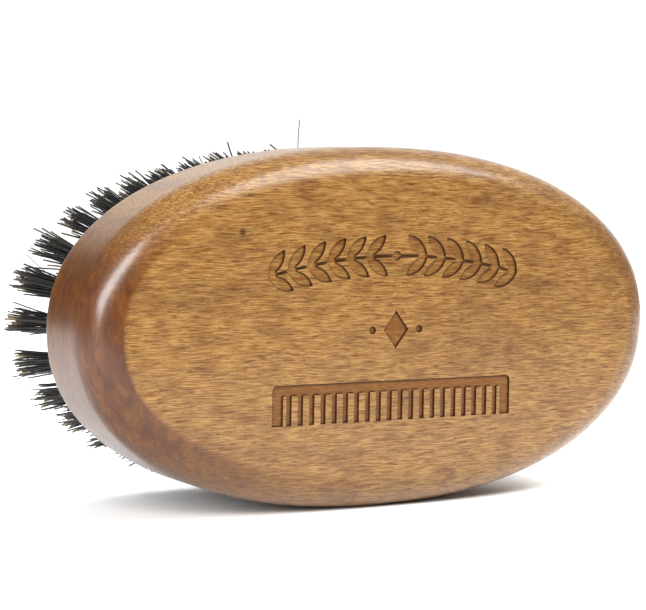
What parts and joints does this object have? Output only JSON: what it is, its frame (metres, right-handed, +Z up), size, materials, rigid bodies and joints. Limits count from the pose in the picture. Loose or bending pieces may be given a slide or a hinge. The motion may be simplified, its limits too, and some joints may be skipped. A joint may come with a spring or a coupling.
{
  "type": "beard brush",
  "caption": "Oval palm-held beard brush: lacquered wooden stock with an engraved flat back, and rings of dark boar-bristle tufts set in blind holes.",
  "frame": {"origin": "bottom centre of the whole brush, on the surface that it stands on", "axes": "+X along the oval, +Z up across its width, +Y from the flat back through to the bristle tips; the back faces -Y"},
  "size_m": [0.105, 0.0336, 0.0572],
  "materials": {
    "lacquered_wood": "satin-gloss clear lacquer over fine-grained hardwood",
    "boar_bristle": "charcoal-black natural bristle, some split tan tips",
    "anchor_wire": "plain drawn flat wire"
  },
  "bodies": {
    "root": {"inner_ring_anchors_01": "anchor_wire", "inner_ring_anchors_02": "anchor_wire", "inner_ring_anchors_03": "anchor_wire", "inner_ring_anchors_04": "anchor_wire", "inner_ring_tufts_01": "boar_bristle", "inner_ring_tufts_02": "boar_bristle", "inner_ring_tufts_03": "boar_bristle", "inner_ring_tufts_04": "boar_bristle", "middle_row_anchors_01": "anchor_wire", "middle_row_anchors_02": "anchor_wire", "middle_row_tufts_01": "boar_bristle", "middle_row_tufts_02": "boar_bristle", "outer_ring_anchors_01": "anchor_wire", "outer_ring_anchors_02": "anchor_wire", "outer_ring_anchors_03": "anchor_wire", "outer_ring_anchors_04": "anchor_wire", "outer_ring_anchors_05": "anchor_wire", "outer_ring_anchors_06": "anchor_wire", "outer_ring_anchors_07": "anchor_wire", "outer_ring_anchors_08": "anchor_wire", "outer_ring_anchors_09": "anchor_wire", "outer_ring_anchors_10": "anchor_wire", "outer_ring_anchors_11": "anchor_wire", "outer_ring_tufts_01": "boar_bristle", "outer_ring_tufts_02": "boar_bristle", "outer_ring_tufts_03": "boar_bristle", "outer_ring_tufts_04": "boar_bristle", "outer_ring_tufts_05": "boar_bristle", "outer_ring_tufts_06": "boar_bristle", "outer_ring_tufts_07": "boar_bristle", "outer_ring_tufts_08": "boar_bristle", "outer_ring_tufts_09": "boar_bristle", "outer_ring_tufts_10": "boar_bristle", "outer_ring_tufts_11": "boar_bristle", "second_ring_anchors_01": "anchor_wire", "second_ring_anchors_02": "anchor_wire", "second_ring_anchors_03": "anchor_wire", "second_ring_anchors_04": "anchor_wire", "second_ring_anchors_05": "anchor_wire", "second_ring_anchors_06": "anchor_wire", "second_ring_tufts_01": "boar_bristle", "second_ring_tufts_02": "boar_bristle", "second_ring_tufts_03": "boar_bristle", "second_ring_tufts_04": "boar_bristle", "second_ring_tufts_05": "boar_bristle", "second_ring_tufts_06": "boar_bristle", "third_ring_anchors_01": "anchor_wire", "third_ring_anchors_02": "anchor_wire", "third_ring_anchors_03": "anchor_wire", "third_ring_anchors_04": "anchor_wire", "third_ring_anchors_05": "anchor_wire", "third_ring_tufts_01": "boar_bristle", "third_ring_tufts_02": "boar_bristle", "third_ring_tufts_03": "boar_bristle", "third_ring_tufts_04": "boar_bristle", "third_ring_tufts_05": "boar_bristle", "wooden_stock": "lacquered_wood"}
  },
  "joints": []
}
